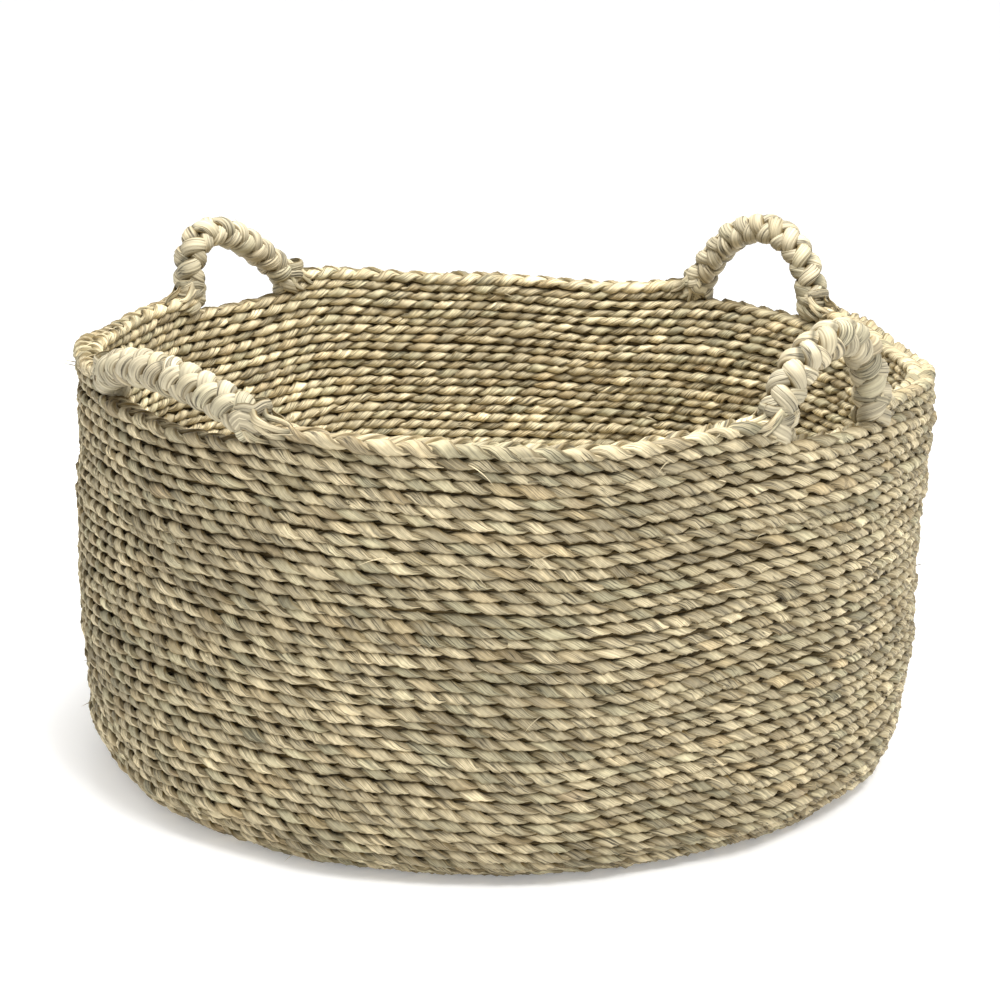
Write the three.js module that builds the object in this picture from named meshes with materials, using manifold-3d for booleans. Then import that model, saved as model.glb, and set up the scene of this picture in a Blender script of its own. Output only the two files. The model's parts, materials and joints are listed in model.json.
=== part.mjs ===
// A low round storage basket with four braided handles, in millimetres, +Z up.
// One long flat seagrass plait, set on edge, is coiled out from the middle of
// the base, round the bottom corner and up the wall. Each turn of it is a
// course. The top two courses stop at each handle, where they are lifted off
// as the core that a braid covers. Each handle bends about its two roots.
import * as THREE from 'three';
import { mergeVertices } from 'three/addons/utils/BufferGeometryUtils.js';
import Module from 'manifold-3d';

// Basket
const BASKET_HEIGHT = 283;
const BASE_RADIUS = 255;
const BASE_RING_EDGES = [60, 125, 190, BASE_RADIUS];
const PLAIT_WIDTH = 16;
const COURSE_GAP = 0.4;
const CORNER_RADIUS = 32;
const CORNER_COURSES = 8;
const WALL_COURSES = 34;
const RIM_COURSES = 2;
const WALL_BULGE = 3.5;

// The handmade body isn't true: its base sits to one side and its rim to the
// other, and the rim rises and falls. Each wave of the rim is how often it
// rises round the basket, by how much, and in which direction it first does.
const SWAY_DEGREES = 45;
const BASE_SWAY = -4.5;
const RIM_SWAY = 3;
const RIM_LIFT = 1.5;
const RIM_WAVES = [
  { rises: 1, height: 6.5, degrees: -156 },
  { rises: 4, height: 4.5, degrees: -5 },
];

// Handles
const CORE_RADIUS = 6.8;
const BRAID_BORE_RADIUS = 8.2;
const BRAID_RADIUS = 13;
const BRAID_START_HEIGHT = 7;
const KNOT_RADIUS = 12.3;
const KNOT_CLEARANCE = 0.6;
const RIM_END_CLEARANCE = 1.2;

// Each handle: the direction of its middle, half the distance between its
// roots, how far it leans outwards, and the two points that its curve is drawn
// towards as it leaves each root, along the rim and above the roots.
const HANDLES = {
  plus_x: { degrees: -1.1, halfSpan: 47, leanDegrees: 0, pulls: [[-44, 38], [36, 79]] },
  plus_y: { degrees: 89.9, halfSpan: 58, leanDegrees: 0, pulls: [[-48, 70], [24, 72]] },
  minus_x: { degrees: 182.5, halfSpan: 51, leanDegrees: 0, pulls: [[-44, 4], [53, 103]] },
  minus_y: { degrees: 268.7, halfSpan: 74, leanDegrees: 30, pulls: [[-38, 29], [41, 18]] },
};

// Mesh resolution
const RING_SEGMENTS = 28;
const TUBE_SIDES = 8;
const HANDLE_STEPS = 14;
const ARCH_SAMPLES = 100;
const KNOT_SEGMENTS = 10;
const KNOT_RINGS = 6;

// Worked out from the above
const CORNER_HEIGHT = CORNER_RADIUS + PLAIT_WIDTH / 2;
const CORNER_STEP = Math.PI / 2 / CORNER_COURSES;
const COURSE_PITCH = (BASKET_HEIGHT - CORNER_HEIGHT) / WALL_COURSES;
const FULL_COURSES = WALL_COURSES - RIM_COURSES;
const SADDLE_HEIGHT = BASKET_HEIGHT - RIM_COURSES * COURSE_PITCH;

const PLAIT_COLOR = 0xcdc29b;
const CORE_COLOR = 0xb9ad84;
const BRAID_COLOR = 0xe0d7b4;

const wasm = await Module();
wasm.setup();

function addPart(parent, name, geometry, color) {
  const material = new THREE.MeshStandardMaterial({ color, roughness: 0.75, metalness: 0 });
  const mesh = new THREE.Mesh(geometry, material);
  mesh.name = name;
  parent.add(mesh);
}

// Leaves positions only, with shared corners merged, so that the mesh is closed.
function weld(geometry) {
  geometry.deleteAttribute('normal');
  geometry.deleteAttribute('uv');
  return mergeVertices(geometry);
}

function toSolid(geometry) {
  const vertProperties = new Float32Array(geometry.attributes.position.array);
  const triVerts = new Uint32Array(geometry.index.array);
  return new wasm.Manifold(new wasm.Mesh({ numProp: 3, vertProperties, triVerts }));
}

function toGeometry(solid) {
  const { vertProperties, triVerts } = solid.getMesh();
  const geometry = new THREE.BufferGeometry();
  geometry.setAttribute('position', new THREE.BufferAttribute(vertProperties, 3));
  geometry.setIndex(new THREE.BufferAttribute(triVerts, 1));
  return geometry;
}

// Middle of the wall's thickness, from the top of the bottom corner upwards.
function wallRadius(height) {
  const share = (height - CORNER_HEIGHT) / (BASKET_HEIGHT - CORNER_HEIGHT);
  return BASE_RADIUS + CORNER_RADIUS + WALL_BULGE * Math.sin(Math.PI * share);
}

// How far the body is out of true at a point. The waves fade out down the wall.
function handmadeShift({ x, y, z }) {
  const share = z / BASKET_HEIGHT;
  const angle = Math.atan2(y, x);
  const wave = RIM_WAVES.reduce((total, { rises, height, degrees }) => {
    const turn = rises * (angle - THREE.MathUtils.degToRad(degrees));
    return total + height * Math.cos(turn);
  }, RIM_LIFT);
  const sway = THREE.MathUtils.lerp(BASE_SWAY, RIM_SWAY, share);
  const direction = THREE.MathUtils.degToRad(SWAY_DEGREES);
  return new THREE.Vector3(sway * Math.cos(direction), sway * Math.sin(direction), wave * share ** 2);
}

function handmade(geometry) {
  const position = geometry.attributes.position;
  const point = new THREE.Vector3();
  for (let index = 0; index < position.count; index += 1) {
    point.fromBufferAttribute(position, index);
    point.add(handmadeShift(point));
    position.setXYZ(index, point.x, point.y, point.z);
  }
  return geometry;
}

// A closed ring round the basket's axis, from an outline of (radius, height).
function ring(outline) {
  const geometry = new THREE.LatheGeometry([...outline, outline[0]], RING_SEGMENTS);
  geometry.rotateX(Math.PI / 2);
  return weld(geometry);
}

// The plait is cut at a point of the coil by a line from its inner edge to its
// outer edge. A course's outline joins two such lines.
function courseOutline([innerStart, outerStart], [innerEnd, outerEnd]) {
  return [innerStart, outerStart, outerEnd, innerEnd];
}

function baseLine(radius) {
  return [new THREE.Vector2(radius, PLAIT_WIDTH), new THREE.Vector2(radius, 0)];
}

function cornerLine(angle) {
  return [-1, 1].map((side) => {
    const radius = CORNER_RADIUS + (side * PLAIT_WIDTH) / 2;
    const height = CORNER_HEIGHT - radius * Math.cos(angle);
    return new THREE.Vector2(BASE_RADIUS + radius * Math.sin(angle), height);
  });
}

function wallLine(height) {
  const radius = wallRadius(height);
  return [-1, 1].map((side) => new THREE.Vector2(radius + (side * PLAIT_WIDTH) / 2, height));
}

function cornerCourse(index) {
  const start = index * CORNER_STEP;
  const gap = COURSE_GAP / CORNER_RADIUS;
  return ring(courseOutline(cornerLine(start + gap), cornerLine(start + CORNER_STEP)));
}

function wallCourse(index) {
  const bottom = CORNER_HEIGHT + index * COURSE_PITCH;
  return ring(courseOutline(wallLine(bottom + COURSE_GAP), wallLine(bottom + COURSE_PITCH)));
}

function addCourse(parent, name, geometry) {
  addPart(parent, name, handmade(geometry), PLAIT_COLOR);
}

function buildBase(parent) {
  const [centreEdge, ...ringEdges] = BASE_RING_EDGES;
  const [top, bottom] = baseLine(centreEdge);
  const axisTop = new THREE.Vector2(0, PLAIT_WIDTH);
  addCourse(parent, 'base_centre', ring([new THREE.Vector2(0, 0), bottom, top, axisTop]));
  ringEdges.forEach((outer, index) => {
    const inner = BASE_RING_EDGES[index] + COURSE_GAP;
    const outline = courseOutline(baseLine(inner), baseLine(outer));
    addCourse(parent, `base_turns_${index + 1}`, ring(outline));
  });
}

function buildCourses(parent) {
  const twoDigits = (number) => String(number).padStart(2, '0');
  for (let index = 0; index < CORNER_COURSES; index += 1) {
    addCourse(parent, `corner_course_${twoDigits(index + 1)}`, cornerCourse(index));
  }
  for (let index = 0; index < FULL_COURSES; index += 1) {
    addCourse(parent, `wall_course_${twoDigits(index + 1)}`, wallCourse(index));
  }
}

// Half the angle that a handle and its braid take out of the rim's courses.
function halfCutAngle({ halfSpan }) {
  const innerRadius = wallRadius(SADDLE_HEIGHT) - PLAIT_WIDTH / 2;
  return Math.asin((halfSpan + BRAID_RADIUS + RIM_END_CLEARANCE) / innerRadius);
}

// A block with two upright faces that meet on the basket's axis.
function sector(startAngle, endAngle) {
  const reach = 2 * BASE_RADIUS;
  const shape = new THREE.Shape();
  shape.moveTo(0, 0);
  shape.lineTo(reach * Math.cos(startAngle), reach * Math.sin(startAngle));
  shape.lineTo(reach * Math.cos(endAngle), reach * Math.sin(endAngle));
  shape.closePath();
  return weld(new THREE.ExtrudeGeometry(shape, { depth: 2 * BASKET_HEIGHT, bevelEnabled: false }));
}

// The stretches of the top courses between one handle and the next.
function buildRim(parent) {
  const handles = Object.values(HANDLES);
  handles.forEach((handle, stretch) => {
    const next = handles[(stretch + 1) % handles.length];
    const startAngle = THREE.MathUtils.degToRad(handle.degrees) + halfCutAngle(handle);
    let endAngle = THREE.MathUtils.degToRad(next.degrees) - halfCutAngle(next);
    if (endAngle < startAngle) {
      endAngle += 2 * Math.PI;
    }
    const wedge = toSolid(sector(startAngle, endAngle));
    ['lower', 'upper'].forEach((level, index) => {
      const course = toSolid(wallCourse(FULL_COURSES + index)).intersect(wedge);
      addCourse(parent, `rim_${level}_${stretch + 1}`, toGeometry(course));
    });
  });
}

// The middle line of a handle from root to root, in the handle's own frame:
// X runs from root to root and Z is up. start and end keep a part of it.
class HandleArch extends THREE.CubicBezierCurve3 {
  constructor({ halfSpan, pulls }, start = 0, end = 1) {
    const points = [[-halfSpan, 0], ...pulls, [halfSpan, 0]];
    super(...points.map(([x, z]) => new THREE.Vector3(x, 0, z)));
    this.start = start;
    this.end = end;
  }

  getPoint(t, target = new THREE.Vector3()) {
    return super.getPoint(THREE.MathUtils.lerp(this.start, this.end, t), target);
  }
}

// The part of a handle's middle line that stands clear of its roots.
function clearArch(handle) {
  const heights = new HandleArch(handle).getPoints(ARCH_SAMPLES).map((point) => point.z);
  const isClear = (height) => height > BRAID_START_HEIGHT;
  const start = heights.findIndex(isClear) / ARCH_SAMPLES;
  const end = heights.findLastIndex(isClear) / ARCH_SAMPLES;
  return new HandleArch(handle, start, end);
}

function circlePoints(radius) {
  const points = [];
  for (let side = 0; side < TUBE_SIDES; side += 1) {
    const angle = (2 * Math.PI * side) / TUBE_SIDES;
    points.push(new THREE.Vector2(radius * Math.cos(angle), radius * Math.sin(angle)));
  }
  return points;
}

function tube(path, radius, boreRadius = 0) {
  const section = new THREE.Shape(circlePoints(radius));
  if (boreRadius > 0) {
    section.holes.push(new THREE.Path(circlePoints(boreRadius)));
  }
  return toSolid(weld(new THREE.ExtrudeGeometry(section, { extrudePath: path, steps: HANDLE_STEPS })));
}

// A ball at each root, on the line that the handle bends about.
function knots({ halfSpan }, radius) {
  const [left, right] = [-halfSpan, halfSpan].map((x) => {
    const ball = new THREE.SphereGeometry(radius, KNOT_SEGMENTS, KNOT_RINGS);
    return toSolid(weld(ball.translate(x, 0, 0)));
  });
  return left.add(right);
}

function handleCore(handle) {
  const core = tube(new HandleArch(handle), CORE_RADIUS).add(knots(handle, KNOT_RADIUS));
  return toGeometry(core);
}

function handleBraid(handle) {
  const braid = tube(clearArch(handle), BRAID_RADIUS, BRAID_BORE_RADIUS);
  return toGeometry(braid.subtract(knots(handle, KNOT_RADIUS + KNOT_CLEARANCE)));
}

// A root stands on the last full course, at one side of the handle.
function rootPoint({ degrees, halfSpan }, side) {
  const radius = wallRadius(SADDLE_HEIGHT);
  const angle = THREE.MathUtils.degToRad(degrees) + side * Math.asin(halfSpan / radius);
  const seat = new THREE.Vector3(radius * Math.cos(angle), radius * Math.sin(angle), SADDLE_HEIGHT);
  seat.add(handmadeShift(seat));
  seat.z += KNOT_RADIUS + KNOT_CLEARANCE;
  return seat;
}

// Places a handle's frame with its X axis through both roots.
function handleFrame(handle) {
  const [start, end] = [-1, 1].map((side) => rootPoint(handle, side));
  const along = end.clone().sub(start).normalize();
  const inward = new THREE.Vector3(0, 0, 1).cross(along).normalize();
  const up = along.clone().cross(inward);
  const frame = new THREE.Group();
  frame.position.copy(start).lerp(end, 0.5);
  frame.quaternion.setFromRotationMatrix(new THREE.Matrix4().makeBasis(along, inward, up));
  frame.rotateX(THREE.MathUtils.degToRad(handle.leanDegrees));
  return frame;
}

function buildHandles(parent) {
  for (const [side, handle] of Object.entries(HANDLES)) {
    const frame = handleFrame(handle);
    addPart(frame, `handle_core_${side}`, handleCore(handle), CORE_COLOR);
    addPart(frame, `handle_braid_${side}`, handleBraid(handle), BRAID_COLOR);
    parent.add(frame);
  }
}

const basket = new THREE.Group();
buildBase(basket);
buildCourses(basket);
buildRim(basket);
buildHandles(basket);

export default basket;
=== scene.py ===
# The looks of the seagrass storage basket, in metres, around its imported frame.
# Every course of the basket is a three-strand flat plait set on edge. Every
# handle is a four-strand round braid over two lifted plaits, and loose leaf
# ends tie its roots down over the wall.
import json
import math

import bpy
import numpy as np
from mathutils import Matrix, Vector


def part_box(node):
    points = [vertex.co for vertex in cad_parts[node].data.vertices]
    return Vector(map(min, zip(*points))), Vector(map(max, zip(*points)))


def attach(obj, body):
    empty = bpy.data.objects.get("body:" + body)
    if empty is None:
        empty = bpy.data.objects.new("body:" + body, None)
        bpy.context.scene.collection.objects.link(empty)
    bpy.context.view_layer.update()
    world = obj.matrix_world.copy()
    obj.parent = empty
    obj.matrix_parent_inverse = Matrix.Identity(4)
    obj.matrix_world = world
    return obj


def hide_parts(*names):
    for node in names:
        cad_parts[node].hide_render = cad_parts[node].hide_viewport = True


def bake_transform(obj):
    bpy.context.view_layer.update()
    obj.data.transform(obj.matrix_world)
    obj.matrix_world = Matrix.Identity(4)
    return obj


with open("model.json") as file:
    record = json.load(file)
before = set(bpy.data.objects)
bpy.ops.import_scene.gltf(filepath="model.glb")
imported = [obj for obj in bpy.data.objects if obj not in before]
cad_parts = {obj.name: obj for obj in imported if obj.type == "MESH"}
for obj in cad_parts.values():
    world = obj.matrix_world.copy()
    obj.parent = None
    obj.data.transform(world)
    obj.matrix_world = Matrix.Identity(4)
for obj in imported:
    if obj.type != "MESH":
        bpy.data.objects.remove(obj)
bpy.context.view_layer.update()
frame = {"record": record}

MM = 0.001
SIDES = ("plus_x", "plus_y", "minus_x", "minus_y")

# The basket's profile, as the CAD solids have it
PLAIT_WIDTH = 16 * MM
BASE_RADIUS = 255 * MM
CORNER_RADIUS = 32 * MM
CORNER_HEIGHT = CORNER_RADIUS + PLAIT_WIDTH / 2
CORNER_COURSES = 8
WALL_COURSES = 34
RIM_COURSES = 2
BASKET_HEIGHT = 283 * MM
WALL_BULGE = 3.5 * MM
LOWER_TUCK = 2.5 * MM
CORNER_FULLNESS = 0.8  # a power on the corner's arc: below 1 it stands out more
COURSE_PITCH = (BASKET_HEIGHT - CORNER_HEIGHT) / WALL_COURSES
FULL_COURSES = WALL_COURSES - RIM_COURSES

# The handmade body: its sway from base to rim, and the waves of its rim as
# how often they rise, by how much, and towards which direction
SWAY_ANGLE = math.radians(45)
BASE_SWAY = -4.5 * MM
RIM_SWAY = 3 * MM
RIM_LIFT = 1.5 * MM
RIM_WAVES = ((1, 6.5 * MM, math.radians(-156)), (4, 4.5 * MM, math.radians(-5)))

# How far the courses stray from that body: together, and each on its own
BODY_SHIFT = 1.6 * MM
BODY_LIFT = 1.3 * MM
COURSE_SHIFT = 0.45 * MM
COURSE_LIFT = 0.4 * MM

# The flat plait: where its strands run, and the section of one strand
PLAIT_LENGTH = 52 * MM
STRANDS = 3
STRAND_SWING = 5.7 * MM
STRAND_CROSSING = 1.6 * MM
STRAND_HALF_WIDTH = 4.1 * MM
STRAND_HALF_THICKNESS = 2.3 * MM
SECTION_POINTS = 16
STEPS_PER_PLAIT = 16
FOLDED_SHARE = 0.65
ROLLED_SHARE = 0.35
LOOSE_ROLL = 0.12
LACING_HALF_WIDTH = 4 * MM
LACING_HALF_HEIGHT = 1.3 * MM
TOP_COURSE_SCALE = 1.14
TOP_COURSE_OPENNESS = 0.5
# Painted light: how much paler the faces towards the basket's inner side are painted
INSIDE_PAINTED_LIGHT = 0.2
STRAY_HALF_WIDTH = 0.45 * MM

# Where a strand's painted light and shade change, from its plait's middle: to the
# painted light on the basket's inner side, across the plait, and to the painted shade between
# two courses, through it
INSIDE_LIGHT_FROM_TO = (-2 * MM, 4 * MM)
SEAM_SHADE_FROM_TO = (2.6 * MM, 4.0 * MM)

# The handles: half the distance between roots, how far each leans outwards,
# and the two points that its curve is drawn towards, from root to root
HANDLES = {
    "plus_x": (47 * MM, 0.0, (-44 * MM, 38 * MM), (36 * MM, 79 * MM)),
    "plus_y": (58 * MM, 0.0, (-48 * MM, 70 * MM), (24 * MM, 72 * MM)),
    "minus_x": (51 * MM, 0.0, (-44 * MM, 4 * MM), (53 * MM, 103 * MM)),
    "minus_y": (74 * MM, math.radians(30), (-38 * MM, 29 * MM), (41 * MM, 18 * MM)),
}
BRAID_PITCH = 31 * MM
BRAID_RADIUS = 8.3 * MM
BRAID_CROSSING = 1.8 * MM
BAND_HALF_WIDTH = 6.4 * MM
BAND_HALF_THICKNESS = 2.6 * MM
BAND_DROOP = 2.6 * MM
BAND_STRIPS = 5
BAND_SECTION_POINTS = 48
BRAID_STEP = 2 * MM
BRAID_GREYNESS = 0.75
CORE_OPENNESS = 0.3
STRAYS_PER_HANDLE = 6
ARCH_SAMPLES = 400
ROOT_SAMPLES = 20
ROOT_DEPTH = 10 * MM

# Leaf colours, linear
STRAW = np.array((0.478, 0.405, 0.256))
GREY_STRAW = np.array((0.40, 0.355, 0.25))
GREEN = np.array((0.35, 0.33, 0.21))
TAN = np.array((0.38, 0.285, 0.15))
STAIN = np.array((0.30, 0.20, 0.11))
# SHADE is the colour of painted shade, not of a leaf
SHADE = np.array((0.11, 0.072, 0.02))
TIP = np.array((0.045, 0.04, 0.02))

# How far along a strand its leaf colour, its stains and lightness, and the
# colours of its strips last
LEAF_LENGTH = 140 * MM
STAIN_LENGTH = 45 * MM
STRIP_LENGTH = 30 * MM

rng = np.random.default_rng(20261118)


# ---------------------------------------------------------------- noise

def smooth_noise(count, cycles, rows=1):
    """Rows of closed random curves, each with a standard deviation of one."""
    cycles = int(max(1, min(cycles, count // 2 - 1)))
    spectrum = np.zeros((rows, count // 2 + 1), complex)
    shape = (rows, cycles)
    spectrum[:, 1:cycles + 1] = rng.normal(size=shape) + 1j * rng.normal(size=shape)
    curves = np.fft.irfft(spectrum, n=count, axis=1)
    return curves / curves.std(axis=1, keepdims=True)


def make_field(longest, shortest, waves=24):
    """A random smooth function of the angle round the basket and the height."""
    turns = rng.integers(2, 14, waves)
    rises = rng.uniform(-1, 1, waves) * 2 * math.pi / shortest
    phases = rng.uniform(0, 2 * math.pi, waves)
    weights = 1 / (1 + turns * longest)
    weights /= np.sqrt((weights ** 2).sum() / 2)

    def field(angle, height):
        inner = angle[..., None] * turns + height * rises + phases
        return (np.cos(inner) * weights).sum(-1)
    return field


def smoothstep(values, low, high):
    share = np.clip((values - low) / (high - low), 0, 1)
    return share * share * (3 - 2 * share)


radial_field = make_field(0.12, 0.16)
height_field = make_field(0.25, 0.22)
light_field = make_field(0.10, 0.10)


# ---------------------------------------------------------------- meshes

def unit(vectors):
    return vectors / np.linalg.norm(vectors, axis=-1, keepdims=True)


def tangents(points, closed=False):
    if closed:
        return unit(np.roll(points, -1, 0) - np.roll(points, 1, 0))
    return unit(np.gradient(points, axis=0))


def along(points):
    """Length along a line of points, from its start."""
    steps = np.linalg.norm(np.diff(points, axis=0), axis=1)
    return np.concatenate(([0], np.cumsum(steps)))


def square_to(vectors, heading):
    """Unit vectors as close to the given ones as a right angle to heading allows."""
    return unit(vectors - heading * (vectors * heading).sum(-1, keepdims=True))


def section_angles(count):
    return np.arange(count) * 2 * math.pi / count


class MeshParts:
    """Collects tubes with their colours and fibre coordinates into one mesh."""

    def __init__(self):
        self.points, self.quads, self.caps = [], [], []
        self.tints, self.fibres = [], []
        self.count = 0

    def add_tube(self, rings, tint, fibre, closed=False):
        """rings, tint and fibre are arrays of (stations, section points, 3)."""
        stations, sides = rings.shape[:2]
        index = np.arange(stations * sides).reshape(stations, sides) + self.count
        following = np.roll(index, -1, 0) if closed else index[1:]
        here = index if closed else index[:-1]
        quads = np.stack((here, np.roll(here, -1, 1), np.roll(following, -1, 1), following), -1)
        self.quads.append(quads.reshape(-1, 4))
        if not closed:
            self.caps += [index[0][::-1], index[-1]]
        self.points.append(rings.reshape(-1, 3))
        self.tints.append(np.broadcast_to(tint, rings.shape).reshape(-1, 3))
        self.fibres.append(np.broadcast_to(fibre, rings.shape).reshape(-1, 3))
        self.count += stations * sides

    def build(self, name, material):
        """The collected tubes as one piece, with nothing below the floor."""
        points = np.concatenate(self.points)
        points[:, 2] = np.maximum(points[:, 2], 0)
        quads = np.concatenate(self.quads)
        faces = quads.tolist() + [list(map(int, cap)) for cap in self.caps]
        mesh = bpy.data.meshes.new(name)
        mesh.from_pydata(points, [], faces)
        tints = np.concatenate(self.tints)
        colours = np.concatenate((tints, np.ones((len(tints), 1))), 1)
        tint_layer = mesh.attributes.new("tint", "FLOAT_COLOR", "POINT")
        tint_layer.data.foreach_set("color", colours.ravel())
        fibre_layer = mesh.attributes.new("fibre", "FLOAT_VECTOR", "POINT")
        fibre_layer.data.foreach_set("vector", np.concatenate(self.fibres).ravel())
        mesh.polygons.foreach_set("use_smooth", np.ones(len(mesh.polygons), bool))
        mesh.materials.append(material)
        piece = bpy.data.objects.new(name, mesh)
        bpy.context.scene.collection.objects.link(piece)
        return piece


def place(piece, body, slot, *nodes):
    """Hides the CAD nodes that a rigid piece stands for and attaches it to its body. slot is
    not used.
    """
    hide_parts(*nodes)
    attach(piece, body)


def strand_tint(stations, length, greyness=0.0, sides=1):
    """Leaf colours that change along a strand and from strip to strip.
    greyness is the share of the less yellow leaf, from 0 to 1."""
    green, tan = smooth_noise(stations, length / LEAF_LENGTH, 2)
    stain, light = smooth_noise(stations, length / STAIN_LENGTH, 2)
    colour = np.broadcast_to(STRAW + (GREY_STRAW - STRAW) * greyness, (stations, 3)).copy()
    for leaf, amount in (
        (GREEN, 0.6 * smoothstep(green, -0.2, 1.8)),
        (TAN, 0.6 * smoothstep(tan, 0.4, 2.2)),
        (STAIN, 0.4 * smoothstep(stain, 2.2, 3.0)),
    ):
        colour += (leaf - colour) * (amount * (1 - 0.6 * greyness))[:, None]
    colour *= (1 + (0.18 - 0.13 * greyness) * np.clip(light, -2, 2))[:, None]
    strips = smooth_noise(stations, length / STRIP_LENGTH, sides).T
    return colour[:, None] * (1 + 0.08 * np.clip(strips, -2, 2))[..., None]


def darkened(tint, leaf, amount):
    """tint with a share of it, from 0 to 1, turned into another colour."""
    return tint + (leaf - tint) * np.clip(amount, 0, 1)[..., None]


def fibre_coordinates(distance, section, girth):
    """Metres along the strand, metres round it, and a number of its own."""
    around = section / (2 * math.pi) * girth
    coordinates = np.empty((len(distance), len(section), 3))
    coordinates[..., 0] = distance[:, None]
    coordinates[..., 1] = np.minimum(around, girth - around)
    coordinates[..., 2] = rng.uniform(0, 10)
    return coordinates


def flat_section(middle, normal, side, half_thickness, half_width, section):
    """Rings of a flat strand round its middle line. The two halves are arrays
    of (stations, section points) or of (stations, 1)."""
    out = half_thickness * np.cos(section)
    aside = half_width * np.sin(section)
    return middle[:, None] + out[..., None] * normal[:, None] + aside[..., None] * side[:, None]


def add_stray(parts, start, heading, away, length):
    """A loose fibre that curls away from the surface it starts on."""
    share = np.linspace(0, 1, 7)
    curl = rng.uniform(0.15, 0.5) * share ** 2
    sag = np.array((0, 0, -1)) * (rng.uniform(-0.1, 0.35) * share ** 2)[:, None]
    middle = start + length * (share[:, None] * heading + curl[:, None] * away + sag)
    course = tangents(middle)
    normal = square_to(np.broadcast_to(away, middle.shape), course)
    section = section_angles(4)
    width = STRAY_HALF_WIDTH * (1.15 - share)[:, None]
    rings = flat_section(middle, normal, np.cross(course, normal), 0.4 * width, width, section)
    tint = STRAW * rng.uniform(0.9, 1.5)
    parts.add_tube(rings, tint, fibre_coordinates(share * length, section, 2 * MM))


# ---------------------------------------------------------------- flat plait

def add_strand(parts, centres, wide, thick, phase, closed, openness, scale, light):
    """One strand of a flat plait, which folds over at each edge and rolls a
    little on its way across. openness is 1 on a plait whose flat face shows,
    and 0 where only its edges do. light is how much paler each station is."""
    stations = len(centres)
    length = along(centres)[-1]
    swing, crossing, width, thickness, roll = smooth_noise(stations, length / (30 * MM), 5)
    across = STRAND_SWING * np.sin(phase) * (1 + 0.05 * swing) * scale
    over = STRAND_CROSSING * np.sin(2 * phase) * (1 + 0.2 * crossing) * scale
    middle = centres + across[:, None] * wide + over[:, None] * thick
    heading = tangents(middle, closed)
    folded = math.pi / 2 * np.sin(math.pi / 2 * np.cos(phase))
    rolled = 0.41 * math.pi * (np.cos(phase) + np.cos(3 * phase) / 9)
    facing = FOLDED_SHARE * folded + ROLLED_SHARE * rolled + LOOSE_ROLL * roll
    towards = np.cos(facing)[:, None] * wide + np.sin(facing)[:, None] * thick
    normal = square_to(towards, heading)
    section = section_angles(SECTION_POINTS)
    swelling = smooth_noise(stations, length / (60 * MM), SECTION_POINTS).T
    ribs = 1 + 0.06 * np.clip(swelling, -2, 2)
    half_thickness = STRAND_HALF_THICKNESS * scale * (1 + 0.12 * np.clip(thickness, -2, 2))
    half_width = STRAND_HALF_WIDTH * scale * (1 + 0.1 * np.clip(width, -2, 2))
    rings = flat_section(middle, normal, np.cross(heading, normal),
                         half_thickness[:, None] * ribs, half_width[:, None] * ribs, section)
    tint = strand_tint(stations, length, sides=SECTION_POINTS)
    tint = tint * (1 + 0.08 * light)[:, None, None]
    # Painted shade: the strand is darkened into SHADE where it dives under the other strands,
    # next to the courses above and below it, and along its own edges; openness takes part of
    # the first two away
    diving_shade = (1 - np.abs(np.sin(phase)))[:, None] ** 2 * np.ones(SECTION_POINTS)
    edge = smoothstep(np.abs(np.sin(section)), 0.7, 1.0)
    offset = rings - centres[:, None]
    # Painted light: the plait's face towards the inner side of the basket is painted paler
    inside_light = smoothstep(-(offset * wide[:, None]).sum(-1), *INSIDE_LIGHT_FROM_TO)
    tint = tint * (1 + INSIDE_PAINTED_LIGHT * inside_light)[..., None]
    depth = np.abs((offset * thick[:, None]).sum(-1))
    seam_shade = smoothstep(depth, *SEAM_SHADE_FROM_TO)
    tint = darkened(tint, SHADE, (0.5 * diving_shade + 0.6 * seam_shade) * (1 - openness) + 0.55 * edge)
    distance = along(middle) + rng.uniform(0, 50)
    girth = 2 * math.pi * STRAND_HALF_WIDTH
    parts.add_tube(rings, tint, fibre_coordinates(distance, section, girth), closed)


def add_plait(parts, centres, wide, thick, closed, openness=0.0, scale=None, light=None):
    """A flat plait of three strands along a line of stations. wide and thick
    are unit vectors across the plait."""
    stations = len(centres)
    length = along(centres)[-1]
    turns = max(2, round(length / PLAIT_LENGTH)) if closed else length / PLAIT_LENGTH
    share = np.arange(stations) / (stations if closed else stations - 1)
    drift = 0.45 * smooth_noise(stations, turns / 3)[0]
    phase = rng.uniform(0, 2 * math.pi) + 2 * math.pi * turns * share + drift
    scale = np.ones(stations) if scale is None else scale
    light = np.zeros(stations) if light is None else light
    for strand in range(STRANDS):
        offset = 2 * math.pi * strand / STRANDS + 0.1 * smooth_noise(stations, turns)[0]
        add_strand(parts, centres, wide, thick, phase + offset, closed, openness, scale, light)


def add_lacing(parts, centres, wide, thick, closed):
    """The hidden cord that laces a course to the one below it."""
    section = section_angles(4) + math.pi / 4
    middle = centres - thick * COURSE_PITCH / 2
    half_width = LACING_HALF_WIDTH * math.sqrt(2) * np.ones((len(centres), 1))
    half_height = LACING_HALF_HEIGHT * math.sqrt(2) * np.ones((len(centres), 1))
    rings = flat_section(middle, thick, wide, half_height, half_width, section)
    fibre = fibre_coordinates(along(middle), section - math.pi / 4, 8 * MM)
    # The cord is painted a darker copy of the painted shade colour, a dark filler seen only
    # where the gaps between courses lie in shade
    parts.add_tube(rings, SHADE * 0.6, fibre, closed)


def wall_radius(height):
    """Radius of the middle of the wall's plait, which bulges halfway up and
    is tucked in at its foot."""
    share = (height - CORNER_HEIGHT) / (BASKET_HEIGHT - CORNER_HEIGHT)
    bulge = WALL_BULGE * math.sin(math.pi * share) - LOWER_TUCK * (1 - share) ** 2
    return BASE_RADIUS + CORNER_RADIUS + bulge


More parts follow.
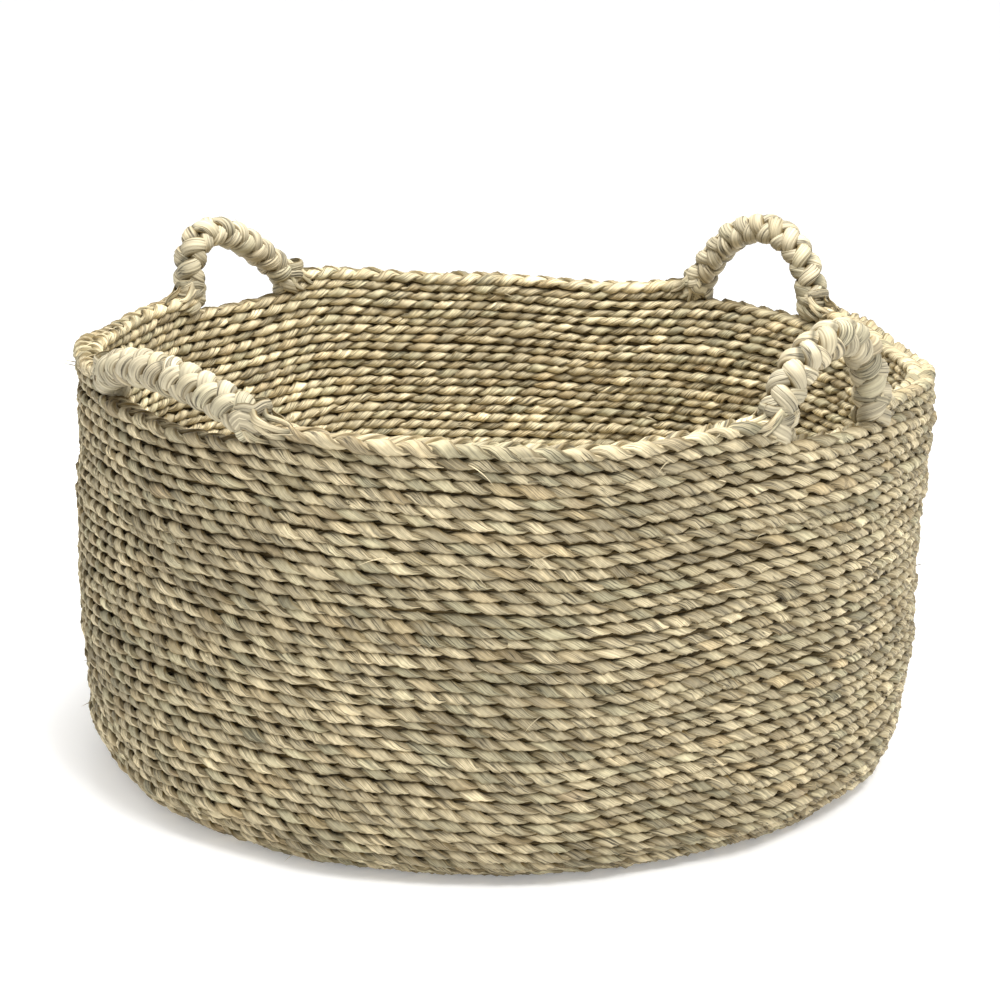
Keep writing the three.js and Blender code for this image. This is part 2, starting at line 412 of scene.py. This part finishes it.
def handmade(points):
    """Moves points of the true shape by the body's sway and its rim's waves."""
    share = points[:, 2] / BASKET_HEIGHT
    angle = np.arctan2(points[:, 1], points[:, 0])
    wave = np.full(len(points), RIM_LIFT)
    for rises, height, peak in RIM_WAVES:
        wave += height * np.cos(rises * (angle - peak))
    sway = BASE_SWAY + (RIM_SWAY - BASE_SWAY) * share
    shift = (sway * math.cos(SWAY_ANGLE), sway * math.sin(SWAY_ANGLE), wave * share ** 2)
    return points + np.stack(shift, 1)


def add_strays(parts, centres, wide, thick, count):
    """Loose fibres on a course, most of them on its outer side."""
    for _ in range(count):
        station = rng.integers(5, len(centres) - 5)
        away = wide[station] * rng.choice((-1, 1, 1, 1))
        start = centres[station] + away * (PLAIT_WIDTH / 2 - 0.5 * MM)
        start = start + thick[station] * rng.uniform(-2, 2) * MM
        run = (centres[station + 3] - centres[station - 3]) * rng.choice((-1, 1))
        lifted = unit(run) + away * rng.uniform(0.1, 0.5)
        heading = unit(lifted + thick[station] * rng.uniform(-0.5, 0.5))
        add_stray(parts, start, heading, away, rng.uniform(7, 20) * MM)


def add_ring(parts, radius, height, tilt, angles=None, openness=0.0, strays=0, size=1.0):
    """One turn of the coil. tilt is 0 in the base, where the plait's width is
    upright, and a quarter turn in the wall."""
    closed = angles is None
    if closed:
        stations = max(3, round(2 * math.pi * radius / PLAIT_LENGTH)) * STEPS_PER_PLAIT
        angles = section_angles(stations)
    stations = len(angles)
    upright = math.sin(tilt) ** 2
    length = abs(angles[-1] - angles[0]) * radius
    wander = smooth_noise(stations, length / (90 * MM), 2)
    shift = radial_field(angles, height) * BODY_SHIFT * upright + wander[0] * COURSE_SHIFT
    lift = (height_field(angles, height) * BODY_LIFT + wander[1] * COURSE_LIFT) * upright
    outward = np.stack((np.cos(angles), np.sin(angles), np.zeros(stations)), 1)
    up = np.array((0.0, 0.0, 1.0))
    centres = outward * (radius + shift)[:, None]
    centres[:, 2] = height + lift
    centres = handmade(centres)
    wide = math.sin(tilt) * outward - math.cos(tilt) * up
    thick = math.cos(tilt) * outward + math.sin(tilt) * up
    scale = size * (1 + 0.07 * np.clip(smooth_noise(stations, length / (110 * MM))[0], -2, 2))
    light = np.clip(light_field(angles, height), -2, 2)
    add_plait(parts, centres, wide, thick, closed, openness, scale, light)
    add_lacing(parts, centres, wide, thick, closed)
    add_strays(parts, centres, wide, thick, strays)


def build_base(material):
    """Rings of plait from the middle of the base to the bottom corner."""
    inner = 0.0
    for node in ["base_centre"] + [f"base_turns_{number}" for number in (1, 2, 3)]:
        low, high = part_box(node)
        outer = (high[0] - low[0]) / 2
        courses = round((outer - inner) / COURSE_PITCH)
        pitch = (outer - inner) / courses
        parts = MeshParts()
        for course in range(courses):
            add_ring(parts, inner + (course + 0.5) * pitch, PLAIT_WIDTH / 2, 0.0)
        place(parts.build(f"plait_{node}", material), "basket", "plait", node)
        inner = outer


def build_corner(material):
    for course in range(CORNER_COURSES):
        angle = (course + 0.5) * math.pi / 2 / CORNER_COURSES
        radius = BASE_RADIUS + (CORNER_RADIUS - LOWER_TUCK) * math.sin(angle) ** CORNER_FULLNESS
        height = CORNER_HEIGHT - CORNER_RADIUS * math.cos(angle)
        parts = MeshParts()
        add_ring(parts, radius, height, angle, strays=2)
        node = f"corner_course_{course + 1:02d}"
        place(parts.build(f"plait_{node}", material), "basket", "plait", node)


def build_wall(material):
    for course in range(FULL_COURSES):
        height = CORNER_HEIGHT + (course + 0.5) * COURSE_PITCH
        parts = MeshParts()
        add_ring(parts, wall_radius(height), height, math.pi / 2, strays=4)
        node = f"wall_course_{course + 1:02d}"
        place(parts.build(f"plait_{node}", material), "basket", "plait", node)


# ---------------------------------------------------------------- handles

def joint_of(side):
    joints = frame["record"]["behaviour"]["joints"]
    return next(joint for joint in joints if joint["name"] == f"bend_{side}")


def hinge_frame(side):
    """Middle of the handle's two roots, and unit vectors along the rim from
    root to root, inwards, and up, with the last two leaning as the handle."""
    joint = joint_of(side)
    run = -unit(np.array(joint["axis"], float))
    inward = unit(np.cross((0.0, 0.0, 1.0), run))
    up = np.cross(run, inward)
    lean = HANDLES[side][1]
    leaning_in = math.cos(lean) * inward + math.sin(lean) * up
    leaning_up = math.cos(lean) * up - math.sin(lean) * inward
    return np.array(joint["pos_m"], float), run, leaning_in, leaning_up


def root_points(side):
    middle, run, _, _ = hinge_frame(side)
    return [middle + sign * HANDLES[side][0] * run for sign in (-1, 1)]


def root_angles(side):
    """Where the handle's roots stand round the basket, before its sway."""
    sway = RIM_SWAY * np.array((math.cos(SWAY_ANGLE), math.sin(SWAY_ANGLE), 0))
    return [math.atan2(y, x) for x, y, _ in np.array(root_points(side)) - sway]


def build_rim(material):
    """The stretches of the top two courses from one handle to the next."""
    for number, side in enumerate(SIDES):
        start = root_angles(side)[1]
        end = root_angles(SIDES[(number + 1) % len(SIDES)])[0]
        if end < start:
            end += 2 * math.pi
        for course, level in enumerate(("lower", "upper")):
            height = CORNER_HEIGHT + (FULL_COURSES + course + 0.5) * COURSE_PITCH
            radius = wall_radius(height)
            stations = round((end - start) * radius / PLAIT_LENGTH * STEPS_PER_PLAIT)
            parts = MeshParts()
            add_ring(parts, radius, height, math.pi / 2, np.linspace(start, end, stations),
                     openness=TOP_COURSE_OPENNESS * course, strays=3,
                     size=TOP_COURSE_SCALE if course else 1.0)
            node = f"rim_{level}_{number + 1}"
            place(parts.build(f"plait_{node}", material), "basket", "plait", node)


def handle_line(side, count):
    """Evenly spaced points along a handle from below one root to below the
    other, the unit vector across the handle's plane, and their distances."""
    middle, run, inward, up = hinge_frame(side)
    half_span, _, first, second = HANDLES[side]
    t = np.linspace(0, 1, ARCH_SAMPLES)[:, None]
    corners = np.array(((-half_span, 0), first, second, (half_span, 0)))
    back = 1 - t
    weights = np.concatenate((back ** 3, 3 * back ** 2 * t, 3 * back * t ** 2, t ** 3), 1)
    arch = weights @ corners
    low = np.linspace(-ROOT_DEPTH, 0, ROOT_SAMPLES, endpoint=False)
    left = np.stack((np.full(ROOT_SAMPLES, -half_span), low), 1)
    right = np.stack((np.full(ROOT_SAMPLES, half_span), low[::-1]), 1)
    flat = np.concatenate((left, arch, right))
    distance = along(flat)
    even = np.linspace(0, distance[-1], count)
    flat = np.stack([np.interp(even, distance, flat[:, axis]) for axis in (0, 1)], 1)
    points = middle + flat[:, :1] * run + flat[:, 1:] * up
    return points, np.broadcast_to(inward, points.shape), even


def handle_length(side):
    return handle_line(side, ARCH_SAMPLES)[2][-1]


def leaf_strips(section, stations, length, strips):
    """How far each section point stands out of a band of leaf strips, and how
    deep it lies in a groove between two of them."""
    ridge = np.abs(np.sin(strips * math.pi / 2 * (np.sin(section) + 1)))
    fading = smooth_noise(stations, length / (12 * MM), len(section)).T
    depth = 0.65 + 0.35 * np.clip(fading, -2, 1)
    swelling = smooth_noise(stations, length / (25 * MM), len(section)).T
    ribs = 1 + 0.07 * np.clip(swelling, -2, 2)
    return (0.74 + 0.26 * np.sqrt(ridge)) * ribs, depth * (1 - ridge) ** 5


def add_leaf_band(parts, middle, away, half_width, half_thickness, droop, dark, greyness,
                  strips=BAND_STRIPS):
    """A band of leaf strips that lies with its flat side facing away and its
    edges drooping. dark is how far each station is shaded into the colour of
    a leaf's dry tip."""
    stations = len(middle)
    length = along(middle)[-1]
    course = tangents(middle)
    normal = square_to(away, course)
    section = section_angles(BAND_SECTION_POINTS)
    bulge, groove = leaf_strips(section, stations, length, strips)
    rings = flat_section(middle, normal, np.cross(course, normal),
                         half_thickness * bulge, half_width, section)
    rings -= (droop * np.sin(section) ** 4)[:, None] * normal[:, None]
    edge = smoothstep(np.abs(np.sin(section)), 0.72, 0.98)
    tint = strand_tint(stations, length, greyness, BAND_SECTION_POINTS)
    # Painted shade: darkened into SHADE in the grooves between strips and along the band's
    # edges, where the bands press together and dive under each other
    tint = darkened(tint, SHADE, 0.95 * groove + 0.85 * edge)
    tint = darkened(tint, TIP, dark[:, None] * np.ones(BAND_SECTION_POINTS))
    fibre = fibre_coordinates(along(middle), section, 4 * BAND_HALF_WIDTH)
    parts.add_tube(rings, tint, fibre)


def add_braid_band(parts, points, inward, distance, direction, start):
    """One band wound round the handle, over and under the bands that are
    wound the other way. Its crossings make two columns on the outer face."""
    stations = len(points)
    length = distance[-1]
    sideways = unit(np.cross(tangents(points), inward))
    wobble, narrow, loose = smooth_noise(stations, length / (14 * MM), 3)
    turn = 2 * math.pi * distance / BRAID_PITCH
    angle = direction * turn + start + math.pi / 4 + 0.1 * wobble
    over = direction * np.cos(2 * turn)
    radius = BRAID_RADIUS + BRAID_CROSSING * over * (1 + 0.15 * loose)
    away = np.cos(angle)[:, None] * inward + np.sin(angle)[:, None] * sideways
    middle = points + radius[:, None] * away
    half_width = BAND_HALF_WIDTH * (1 + 0.08 * over + 0.07 * narrow)[:, None]
    half_thickness = BAND_HALF_THICKNESS * np.ones((stations, 1))
    at_top = smoothstep(np.sin(angle), 0.55, 0.85)
    dark = 0.8 * at_top * smoothstep(-over, -0.35, 0.0) * smoothstep(loose, 0.6, 1.0)
    add_leaf_band(parts, middle, away, half_width, half_thickness, BAND_DROOP, dark,
                  BRAID_GREYNESS)


def bend_at_roots(piece, side, slot):
    """Hides the handle's CAD part that a piece of a handle stands for and bakes the piece's
    place into its mesh.
    """
    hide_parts(f"{slot}_{side}")
    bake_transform(piece)


def build_handle(side, material):
    """The braid of four bands, two wound each way, and its loose fibres."""
    turn_length = 2 * math.pi * BRAID_RADIUS
    turns_length = handle_length(side) * math.hypot(1, turn_length / BRAID_PITCH)
    points, inward, distance = handle_line(side, round(turns_length / BRAID_STEP))
    parts = MeshParts()
    for direction in (1, -1):
        for start in (0, math.pi):
            add_braid_band(parts, points, inward, distance, direction, start)
    for _ in range(STRAYS_PER_HANDLE):
        station = rng.integers(20, len(points) - 20)
        away = unit(rng.normal(size=3) + np.array((0, 0, 0.6)))
        heading = unit(points[station + 2] - points[station - 2] + away * 2 * MM)
        start = points[station] + away * (BRAID_RADIUS + BRAID_CROSSING)
        add_stray(parts, start, heading, away, rng.uniform(6, 14) * MM)
    bend_at_roots(parts.build(f"braid_{side}", material), side, "handle_braid")


def build_core(side, material):
    """The two lifted plaits under the braid, side by side."""
    stations = round(handle_length(side) / PLAIT_LENGTH * STEPS_PER_PLAIT)
    points, inward, distance = handle_line(side, stations)
    across = unit(np.cross(tangents(points), inward))
    from_root = np.minimum(distance, distance[-1] - distance)
    scale = 1 - 0.4 * smoothstep(from_root, 8 * MM, 22 * MM)
    parts = MeshParts()
    for offset in (-1, 1):
        centres = points + (offset * COURSE_PITCH / 2 * scale)[:, None] * across
        add_plait(parts, centres, inward, across, False, CORE_OPENNESS, scale)
    bend_at_roots(parts.build(f"core_{side}", material), side, "handle_core")


def curve_through(knots, count):
    """A smooth line through a few points."""
    knots = np.concatenate((2 * knots[:1] - knots[1:2], knots, 2 * knots[-1:] - knots[-2:-1]))
    place_on = np.linspace(0, len(knots) - 3 - 1e-9, count)
    first = place_on.astype(int)
    t = (place_on - first)[:, None]
    a, b, c, d = (knots[first + step] for step in range(4))
    return 0.5 * (2 * b + (c - a) * t + (2 * a - 5 * b + 4 * c - d) * t ** 2
                  + (3 * b - a - 3 * c + d) * t ** 3)


# The leaf ends round a root, each as a line of points in mm: out of the wall,
# along the rim away from the loop, and up from the rim's top
SIDE_TIES = (
    ((8, 0, 7), (9.3, 6, 2), (8.8, 12, -3), (7.5, 18, -6), (4, 25, -7)),
    ((8.5, 4, 7), (9, 9, 2), (8.6, 15, -1), (7, 22, -2), (4, 29, -3)),
    ((8.5, -6, 6), (9.6, -2, 0), (9.2, 3, -6), (8, 9, -10), (4, 15, -11)),
    ((8.5, 2, 6), (9.6, 1, 0), (9, 1, -6), (7.5, 3, -11), (3, 5, -13)),
)
TOP_TIES = (((2, 9, 6), (2, 12, 3), (1, 18, 2), (1, 25, 1), (0, 31, -3)),)
# The windings of a leg: height, radius and tilt, in mm
COLLARS = ((6, 9.5, 2), (1.5, 10.5, -2.5))
COLLAR_TURNS = 1.15
COLLAR_HALF_WIDTH = 3.8 * MM
COLLAR_HALF_THICKNESS = 1.6 * MM
COLLAR_DROOP = 1.2 * MM
COLLAR_STATIONS = 50
TIE_STATIONS = 28
TIE_HALF_THICKNESS = 1.3 * MM
TIE_DROOP = 0.8 * MM
TIE_STRIPS = 3
KNOT_JITTER = 0.5


def near_root(angle, sign, knots):
    """Points of the basket from points given round a root, as for the ties."""
    knots = np.array(knots, float)
    knots += rng.normal(0, KNOT_JITTER, knots.shape)
    radius = wall_radius(BASKET_HEIGHT) + knots[:, 0] * MM
    angles = angle + sign * knots[:, 1] * MM / wall_radius(BASKET_HEIGHT)
    up = BASKET_HEIGHT + knots[:, 2] * MM
    return handmade(np.stack((radius * np.cos(angles), radius * np.sin(angles), up), 1))


def add_tie(parts, angle, sign, side_of_wall, knots):
    """Leaf ends that come off the leg and run over the top courses, until
    they're tucked in between two of them."""
    knots = np.array(knots, float) * (side_of_wall, 1, 1)
    middle = curve_through(near_root(angle, sign, knots), TIE_STATIONS)
    outward = np.array((math.cos(angle), math.sin(angle), 0.0))
    away = np.broadcast_to(side_of_wall * outward + np.array((0, 0, 0.35)), middle.shape)
    share = np.linspace(0, 1, TIE_STATIONS)
    taper = 1.1 - 0.6 * share
    width = (rng.uniform(2.2, 3.2) * MM * taper)[:, None]
    thickness = (TIE_HALF_THICKNESS * taper)[:, None]
    dark = 0.5 * smoothstep(share, 0.8, 1)
    add_leaf_band(parts, middle, away, width, thickness, TIE_DROOP, dark, 0.2, TIE_STRIPS)


def add_collar(parts, angle, sign, rise, radius, tilt):
    """A few leaf strips wound once round the leg where it meets the rim."""
    turn = rng.uniform(0, 6) + np.linspace(0, COLLAR_TURNS * 2 * math.pi, 14)
    out, run = radius * np.cos(turn), 1.1 * radius * np.sin(turn)
    knots = np.stack((out, run, rise + tilt * np.sin(turn)), 1)
    middle = curve_through(near_root(angle, sign, knots), COLLAR_STATIONS)
    away = middle - near_root(angle, sign, ((0, 0, rise),))
    thickness = COLLAR_HALF_THICKNESS * np.ones((COLLAR_STATIONS, 1))
    dark = 0.3 * np.ones(COLLAR_STATIONS)
    add_leaf_band(parts, middle, away, COLLAR_HALF_WIDTH, thickness, COLLAR_DROOP, dark, 0.7,
                  TIE_STRIPS)


def build_ties(side, material):
    """The leaf ends and windings that tie each of a handle's roots down."""
    for number, angle in enumerate(root_angles(side)):
        sign = 2 * number - 1
        parts = MeshParts()
        for knots in SIDE_TIES:
            for side_of_wall in (-1, 1):
                add_tie(parts, angle, sign, side_of_wall, knots)
        for knots in TOP_TIES:
            add_tie(parts, angle, sign, 1, knots)
        for collar in COLLARS:
            add_collar(parts, angle, sign, *collar)
        bend_at_roots(parts.build(f"ties_{side}_{number + 1}", material), side, "handle_braid")


# ---------------------------------------------------------------- materials

def link_math(nodes, links, operation, first, second):
    node = nodes.new("ShaderNodeMath")
    node.operation = operation
    for socket, value in zip(node.inputs, (first, second)):
        if isinstance(value, (int, float)):
            socket.default_value = value
        else:
            links.new(value, socket)
    return node.outputs["Value"]


def stretched_noise(nodes, links, vector, stretch, detail):
    scale = nodes.new("ShaderNodeVectorMath")
    scale.operation = "MULTIPLY"
    scale.inputs[1].default_value = stretch
    links.new(vector, scale.inputs[0])
    noise = nodes.new("ShaderNodeTexNoise")
    noise.inputs["Scale"].default_value = 1.0
    noise.inputs["Detail"].default_value = detail
    links.new(scale.outputs["Vector"], noise.inputs["Vector"])
    return noise.outputs["Fac"]


def map_range(nodes, links, value, source, target):
    node = nodes.new("ShaderNodeMapRange")
    for name, number in zip(("From Min", "From Max", "To Min", "To Max"), source + target):
        node.inputs[name].default_value = number
    links.new(value, node.inputs["Value"])
    return node.outputs["Result"]


# Cycles per metre of the noise along and round a strand, for its fibres and
# for the lines between its strips, and how wide and dark those lines are
FIBRE_STRETCH = (40, 900, 1)
LINE_STRETCH = (16, 380, 1)
LINE_WIDTH = 0.025
LINE_DARKNESS = 1.8
BUMP_DEPTH = 0.5 * MM


def seagrass_material(name, roughness, contrast):
    """Dry leaf: the tint of each strand, with fine fibres along it and dark
    lines between its leaf strips."""
    material = bpy.data.materials.new(name)
    material.use_nodes = True
    nodes, links = material.node_tree.nodes, material.node_tree.links
    shader = nodes["Principled BSDF"]
    tint = nodes.new("ShaderNodeAttribute")
    tint.attribute_name = "tint"
    fibre = nodes.new("ShaderNodeAttribute")
    fibre.attribute_name = "fibre"
    streaks = stretched_noise(nodes, links, fibre.outputs["Vector"], FIBRE_STRETCH, 3.0)
    strips = stretched_noise(nodes, links, fibre.outputs["Vector"], LINE_STRETCH, 1.5)
    centred = link_math(nodes, links, "SUBTRACT", strips, 0.5)
    from_line = link_math(nodes, links, "ABSOLUTE", centred, 0.0)
    line = map_range(nodes, links, from_line, (0.0, LINE_WIDTH), (0.0, 1.0))
    shade = map_range(nodes, links, streaks, (0.3, 0.7), (1 - contrast, 1 + contrast * 0.7))
    lined = map_range(nodes, links, line, (0.0, 1.0), (1 - LINE_DARKNESS * contrast, 1.0))
    colour = nodes.new("ShaderNodeVectorMath")
    colour.operation = "SCALE"
    links.new(tint.outputs["Color"], colour.inputs[0])
    links.new(link_math(nodes, links, "MULTIPLY", shade, lined), colour.inputs["Scale"])
    links.new(colour.outputs["Vector"], shader.inputs["Base Color"])
    low_streaks = link_math(nodes, links, "MULTIPLY", streaks, 0.6)
    height = link_math(nodes, links, "ADD", low_streaks, line)
    bump = nodes.new("ShaderNodeBump")
    bump.inputs["Strength"].default_value = 0.7
    bump.inputs["Distance"].default_value = BUMP_DEPTH
    links.new(height, bump.inputs["Height"])
    links.new(bump.outputs["Normal"], shader.inputs["Normal"])
    rough = map_range(nodes, links, streaks, (0.0, 1.0), (roughness - 0.1, roughness + 0.12))
    links.new(rough, shader.inputs["Roughness"])
    shader.inputs["Specular IOR Level"].default_value = 0.22
    return material


# ---------------------------------------------------------------- studio

def build_studio():
    """A white floor under a white sky."""
    floor_mesh = bpy.data.meshes.new("studio_floor")
    reach = 30.0
    corners = [(-reach, -reach, 0), (reach, -reach, 0), (reach, reach, 0), (-reach, reach, 0)]
    floor_mesh.from_pydata(corners, [], [(0, 1, 2, 3)])
    floor = bpy.data.objects.new("studio_floor", floor_mesh)
    bpy.context.scene.collection.objects.link(floor)
    paint = bpy.data.materials.new("studio_white")
    paint.use_nodes = True
    shader = paint.node_tree.nodes["Principled BSDF"]
    shader.inputs["Base Color"].default_value = (0.88, 0.88, 0.88, 1)
    shader.inputs["Roughness"].default_value = 0.9
    shader.inputs["Emission Color"].default_value = (1, 1, 1, 1)
    shader.inputs["Emission Strength"].default_value = 0.22
    floor_mesh.materials.append(paint)

    world = bpy.data.worlds.new("studio_sky")
    world.use_nodes = True
    sky = world.node_tree.nodes["Background"]
    sky.inputs["Color"].default_value = (1, 1, 1, 1)
    sky.inputs["Strength"].default_value = 0.9
    bpy.context.scene.world = world


def look_at(item, target):
    direction = Vector(target) - item.location
    item.rotation_euler = direction.to_track_quat("-Z", "Y").to_euler()


def add_area_light(name, position, target, size, power):
    lamp = bpy.data.lights.new(name, "AREA")
    lamp.size = size
    lamp.energy = power
    item = bpy.data.objects.new(name, lamp)
    item.location = position
    look_at(item, target)
    bpy.context.scene.collection.objects.link(item)


# The camera looks from between the handles at +X and -Y
CAMERA_DIRECTION = np.array((math.sin(math.pi / 4), -math.cos(math.pi / 4), 0.0))
CAMERA_RIGHT = np.array((math.cos(math.pi / 4), math.sin(math.pi / 4), 0.0))
CAMERA_DISTANCE = 1.4653
CAMERA_HEIGHT = 0.573
CAMERA_PITCH = math.radians(15.44)
CAMERA_LENS = 76.07
SENSOR_WIDTH = 36

# Each lamp's place, as from_camera has it, its side and its power in watts
LAMPS = {
    "key": ((1.1, 1.6, 2.9), 0.9, 62),
    "overhead": ((0.05, 0.05, 1.3), 0.6, 27),
}


def build_camera():
    lens = bpy.data.cameras.new("camera")
    lens.lens = CAMERA_LENS
    lens.sensor_width = SENSOR_WIDTH
    item = bpy.data.objects.new("camera", lens)
    item.location = Vector(CAMERA_DIRECTION * CAMERA_DISTANCE) + Vector((0, 0, CAMERA_HEIGHT))
    item.rotation_euler = (math.pi / 2 - CAMERA_PITCH, 0, math.pi / 4)
    bpy.context.scene.collection.objects.link(item)
    bpy.context.scene.camera = item


def from_camera(right, towards, up):
    """A point from its distances to the right of the basket's centre,
    towards the camera and up."""
    return tuple(CAMERA_RIGHT * right + CAMERA_DIRECTION * towards + np.array((0, 0, up)))


build_camera()
build_studio()
centre = (0, 0, BASKET_HEIGHT / 2)
for name, (place_of_lamp, size, power) in LAMPS.items():
    add_area_light(name, from_camera(*place_of_lamp), centre, size, power)
bpy.context.scene.view_settings.view_transform = "Standard"

plait_material = seagrass_material("seagrass_plait", 0.62, 0.42)
braid_material = seagrass_material("seagrass_braid", 0.64, 0.4)
build_base(plait_material)
build_corner(plait_material)
build_wall(plait_material)
build_rim(plait_material)
for side in SIDES:
    build_core(side, plait_material)
    build_handle(side, braid_material)
    build_ties(side, braid_material)
